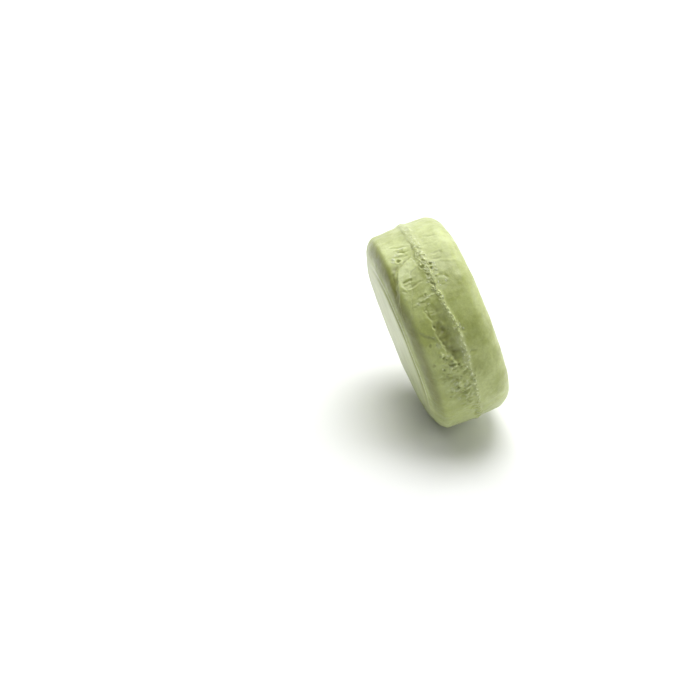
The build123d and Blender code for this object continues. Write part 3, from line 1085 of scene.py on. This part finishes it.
# what all the finishes share: how light soaks into the soap and glances off it
waxBody = {
    "IOR": 1.47,
    "Sheen Roughness": 0.45,
    "Sheen Tint": (0.97, 1.0, 0.94, 1),
    "Coat Weight": 0.35,
    "Coat Roughness": 0.45,
    "Subsurface Weight": 0.6,
    "Subsurface Radius": (1.0, 1.0, 0.45),
    "Subsurface Scale": 0.0011,
}


def soapMaterial(name, look):
    soap = bpy.data.materials.new(name)
    soap.use_nodes = True
    tree = soap.node_tree
    wax = tree.nodes["Principled BSDF"]
    for socket, value in waxBody.items():
        wax.inputs[socket].default_value = value
    wax.inputs["Sheen Weight"].default_value = look["sheen"]
    marks = {}
    for index, key in enumerate(skinMarks):
        marks[key] = nodeIn(tree, "ShaderNodeAttribute", (-1100, -200 * index), attribute_name=key)
    cloud = nodeIn(
        tree, "ShaderNodeGroup", (-800, 300), node_tree=soapCloud,
        Color=look["color"], Milky=look["milky"], Olive=look["olive"], Amount=look["clouds"],
    )
    bloomAndHighlight = nodeIn(
        tree, "ShaderNodeGroup", (-500, 200), node_tree=dryBloom, Bloom=look["bloomAndHighlight"], Shade=look["shade"],
    )
    skin = nodeIn(
        tree, "ShaderNodeGroup", (-500, -200), node_tree=waxySkin, Smooth=look["smooth"], Rough=look["rough"],
    )
    bump = nodeIn(tree, "ShaderNodeBump", (-250, -300), Strength=1.0, Distance=look["bump"])
    wire(tree, [
        (cloud.outputs["Color"], bloomAndHighlight.inputs["Color"]),
        (marks["dry"].outputs["Fac"], bloomAndHighlight.inputs["Dry"]),
        (marks["paintedShade"].outputs["Fac"], bloomAndHighlight.inputs["Painted Shade"]),
        (bloomAndHighlight.outputs["Color"], wax.inputs["Base Color"]),
        (bloomAndHighlight.outputs["Mask"], skin.inputs["Dry"]),
        (marks["polish"].outputs["Fac"], skin.inputs["Polish"]),
        (skin.outputs["Roughness"], wax.inputs["Roughness"]),
        (skin.outputs["Height"], bump.inputs["Height"]),
        (bump.outputs["Normal"], wax.inputs["Normal"]),
    ])
    return soap


finishes = {name: soapMaterial(name, look) for name, look in soapFinishes.items()}


def dress(piece, finish):
    piece.data.materials.clear()
    piece.data.materials.append(finishes[finish])
    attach(piece, body)


for piece in (upperHalf, lowerHalf):
    dress(piece, "pressedSoap")
for piece in flashPieces:
    dress(piece, "flashSoap")
for piece in (tongue, scales):
    dress(piece, "skinSoap")
dress(crumbs, "crumbSoap")
print("soap finishes made")

roomPlan = {
    "floorRadius": 2.6,
    "floorColor": (0.86, 0.87, 0.86, 1),
    "skyLight": 0.15,  # the even light that falls on the soap from all round
}

# Soft boxes: watts, width and depth, distance, degrees right of the view and above the floor.
# A gleam only glances off the wax.
softBoxes = {
    "overheadBox": {"power": 4.9, "size": (0.5, 0.5), "away": 0.75, "way": (0.0, 89.0)},
    "backBox": {"power": 5.2, "size": (1.25, 0.45), "away": 0.75, "way": (-4.0, 50.0)},
    "sideBox": {"power": 2.1, "size": (0.5, 0.5), "away": 0.75, "way": (90.0, 25.0)},
    "backWall": {"power": 36.0, "size": (5.0, 1.8), "away": 1.5, "way": (25.0, 20.0), "gleam": True},
}


def makeFloor(pieces):
    # the floor is turned under the puck's lowest point, so that the puck stands on its rim
    up = np.array(roomUp)
    lowest = []
    for piece in pieces:
        points = np.empty(len(piece.data.vertices) * 3)
        piece.data.vertices.foreach_get("co", points)
        points = points.reshape(-1, 3)
        lowest.append(points[np.argmin(points @ up)])
    touch = Vector(min(lowest, key=lambda p: float(p @ up)))
    rings = bmesh.new()
    bmesh.ops.create_circle(rings, cap_ends=True, radius=roomPlan["floorRadius"], segments=96)
    mesh = bpy.data.meshes.new("paleFloor")
    rings.to_mesh(mesh)
    rings.free()
    floor = bpy.data.objects.new("paleFloor", mesh)
    floor.matrix_world = Matrix.Translation(touch) @ puckFromRoom.to_4x4()
    bpy.context.scene.collection.objects.link(floor)

    # seen from underneath the floor is clear, so that it never hides the puck
    paper = bpy.data.materials.new("palePaper")
    paper.use_nodes = True
    tree = paper.node_tree
    tree.nodes.clear()
    out = nodeIn(tree, "ShaderNodeOutputMaterial", (600, 0))
    card = nodeIn(tree, "ShaderNodeBsdfDiffuse", (200, 0), Color=roomPlan["floorColor"])
    clear = nodeIn(tree, "ShaderNodeBsdfTransparent", (200, -150))
    side = nodeIn(tree, "ShaderNodeNewGeometry", (-200, 200))
    ray = nodeIn(tree, "ShaderNodeLightPath", (-200, -100))
    seen = combine(tree, (0, 150), "MULTIPLY", side.outputs["Backfacing"], ray.outputs["Is Camera Ray"])
    mix = nodeIn(tree, "ShaderNodeMixShader", (400, 0))
    wire(tree, [
        (seen, mix.inputs[0]),
        (card.outputs[0], mix.inputs[1]),
        (clear.outputs[0], mix.inputs[2]),
        (mix.outputs[0], out.inputs["Surface"]),
    ])
    mesh.materials.append(paper)


def makeSky():
    # white all round to the eye, a faint even fill to the soap
    world = bpy.data.worlds.new("whiteStudio")
    world.use_nodes = True
    tree = world.node_tree
    tree.nodes.clear()
    out = nodeIn(tree, "ShaderNodeOutputWorld", (600, 0))
    white = (1, 1, 1, 1)
    seen = nodeIn(tree, "ShaderNodeBackground", (200, 100), Color=white, Strength=1.0)
    fill = nodeIn(tree, "ShaderNodeBackground", (200, -100), Color=white, Strength=roomPlan["skyLight"])
    ray = nodeIn(tree, "ShaderNodeLightPath", (200, 400))
    mix = nodeIn(tree, "ShaderNodeMixShader", (400, 0))
    wire(tree, [
        (ray.outputs["Is Camera Ray"], mix.inputs[0]),
        (fill.outputs[0], mix.inputs[1]),
        (seen.outputs[0], mix.inputs[2]),
        (mix.outputs[0], out.inputs["Surface"]),
    ])
    bpy.context.scene.world = world


def makeSoftBox(name, look):
    bearing, rise = (math.radians(angle) for angle in look["way"])
    level = math.cos(rise)
    towards = puckFromRoom @ Vector((math.sin(bearing) * level, math.cos(bearing) * level, math.sin(rise)))
    sideways = puckFromRoom @ Vector((math.cos(bearing), -math.sin(bearing), 0))
    data = bpy.data.lights.new(name, "AREA")
    data.shape = "RECTANGLE"
    data.size, data.size_y = look["size"]
    data.energy = look["power"]
    box = bpy.data.objects.new(name, data)
    turn = Matrix((sideways, towards.cross(sideways), towards)).transposed().to_4x4()
    box.matrix_world = Matrix.Translation(puckMiddle + towards * look["away"]) @ turn
    box.visible_camera = False
    box.visible_diffuse = not look.get("gleam")
    bpy.context.scene.collection.objects.link(box)


makeFloor([upperHalf, lowerHalf])
makeSky()
for name, look in softBoxes.items():
    makeSoftBox(name, look)
bpy.context.scene.view_settings.view_transform = "Standard"
print("floor, sky and soft boxes made")
